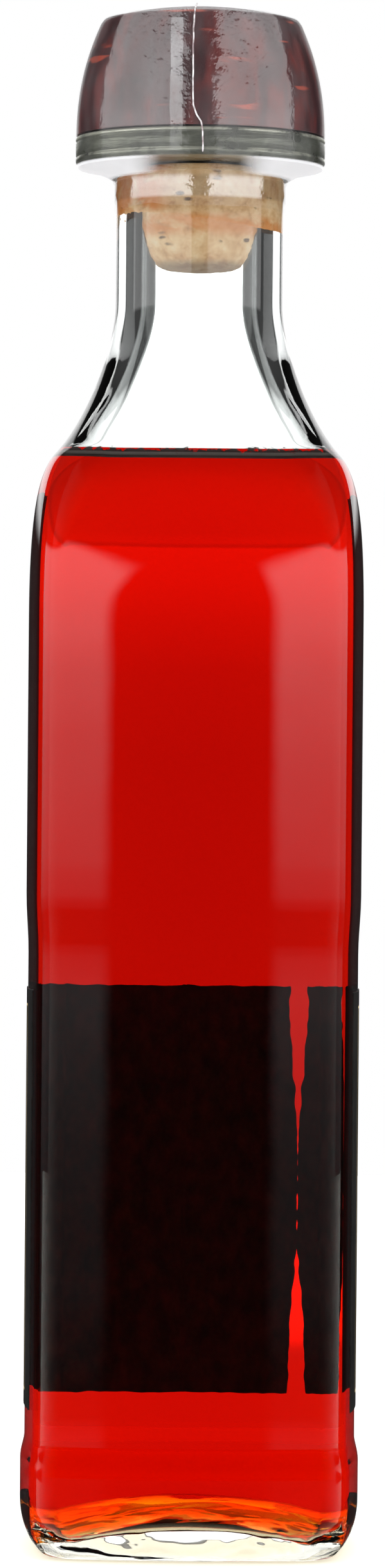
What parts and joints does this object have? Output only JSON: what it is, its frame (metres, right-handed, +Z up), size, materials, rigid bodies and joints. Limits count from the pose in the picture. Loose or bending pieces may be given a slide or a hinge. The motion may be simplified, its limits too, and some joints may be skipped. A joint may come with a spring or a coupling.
{
  "type": "bottle of bourbon",
  "caption": "Tall square clear-glass bottle of red-amber bourbon, with a wooden-topped cork stopper under a clear seal and plain dark labels.",
  "frame": {"origin": "middle of the bottle's foot, on the surface it stands on", "axes": "+Z up along the bottle, -Y out of the bare glass face without a label, +X to the right of that face"},
  "size_m": [0.0686, 0.0686, 0.3118],
  "materials": {
    "clear_glass": "clear, very slightly wavy, with a faint mould seam",
    "bourbon": "clear liquid, amber where thin and deep red where thick",
    "cork": "natural cork with pits, stained at its foot",
    "pewter": "satin grey metal, slightly green",
    "stained_wood": "dark red-brown stain with fine flecks, sealed",
    "clear_film": "glossy clear shrink film with one welded seam",
    "label_paper": "uncoated near-black paper with a plain thin frame line"
  },
  "bodies": {
    "root": {"bottle": "clear_glass", "bourbon": "bourbon", "cork": "cork", "stopper_ring": "pewter", "stopper_cap": "stained_wood", "seal": "clear_film", "label_main": "label_paper", "label_side": "label_paper"}
  },
  "joints": []
}
